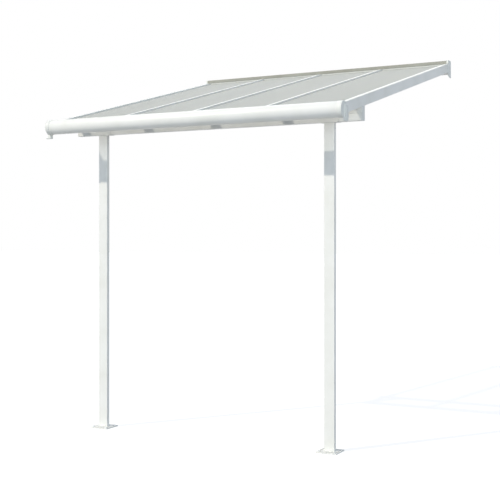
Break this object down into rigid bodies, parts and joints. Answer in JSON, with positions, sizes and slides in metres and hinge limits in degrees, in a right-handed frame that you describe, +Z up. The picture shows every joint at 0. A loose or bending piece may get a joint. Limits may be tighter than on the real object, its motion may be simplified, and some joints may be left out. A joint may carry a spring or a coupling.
{
  "type": "lean-to patio cover",
  "caption": "Lean-to patio cover: two posts and a beam carry sloping rafters with clear twin-wall panels, a round-nosed gutter in front and a wall rail behind.",
  "frame": {"origin": "middle of the wall rail's flat back face, which lies against the wall", "axes": "+X along the wall to the right as seen from the garden, +Y into the wall, +Z up"},
  "size_m": [2.354, 2.361, 2.8549],
  "materials": {
    "white_coat": "satin powder coat",
    "flashing_coat": "matte powder coat",
    "twin_wall": "clear twin-wall sheet",
    "white_plastic": "moulded",
    "seal": "soft extruded seal",
    "bare_aluminium": "mill finish"
  },
  "bodies": {
    "root": {"wall_rail": "white_coat", "gutter": "white_coat", "support_beam": "white_coat", "post_left": "white_coat", "post_right": "white_coat", "post_bracket_left": "white_coat", "post_bracket_right": "white_coat", "foot_left": "white_coat", "foot_right": "white_coat", "rafter_1": "white_coat", "rafter_cap_1": "white_coat", "rafter_clip_1": "bare_aluminium", "rafter_2": "white_coat", "rafter_cap_2": "white_coat", "rafter_clip_2": "bare_aluminium", "rafter_3": "white_coat", "rafter_cap_3": "white_coat", "rafter_clip_3": "bare_aluminium", "rafter_4": "white_coat", "rafter_cap_4": "white_coat", "rafter_clip_4": "bare_aluminium", "rafter_5": "white_coat", "rafter_cap_5": "white_coat", "rafter_clip_5": "bare_aluminium", "roof_panel_1": "twin_wall", "panel_edge_1": "white_coat", "roof_panel_2": "twin_wall", "panel_edge_2": "white_coat", "roof_panel_3": "twin_wall", "panel_edge_3": "white_coat", "roof_panel_4": "twin_wall", "panel_edge_4": "white_coat", "wall_flashing": "flashing_coat", "wall_seal": "seal", "wall_rail_end_left": "white_plastic", "wall_rail_end_right": "white_plastic", "gutter_end_left": "white_plastic", "gutter_end_right": "white_plastic", "gutter_tray": "white_plastic", "beam_end_left": "white_plastic", "beam_end_right": "white_plastic"}
  },
  "joints": []
}
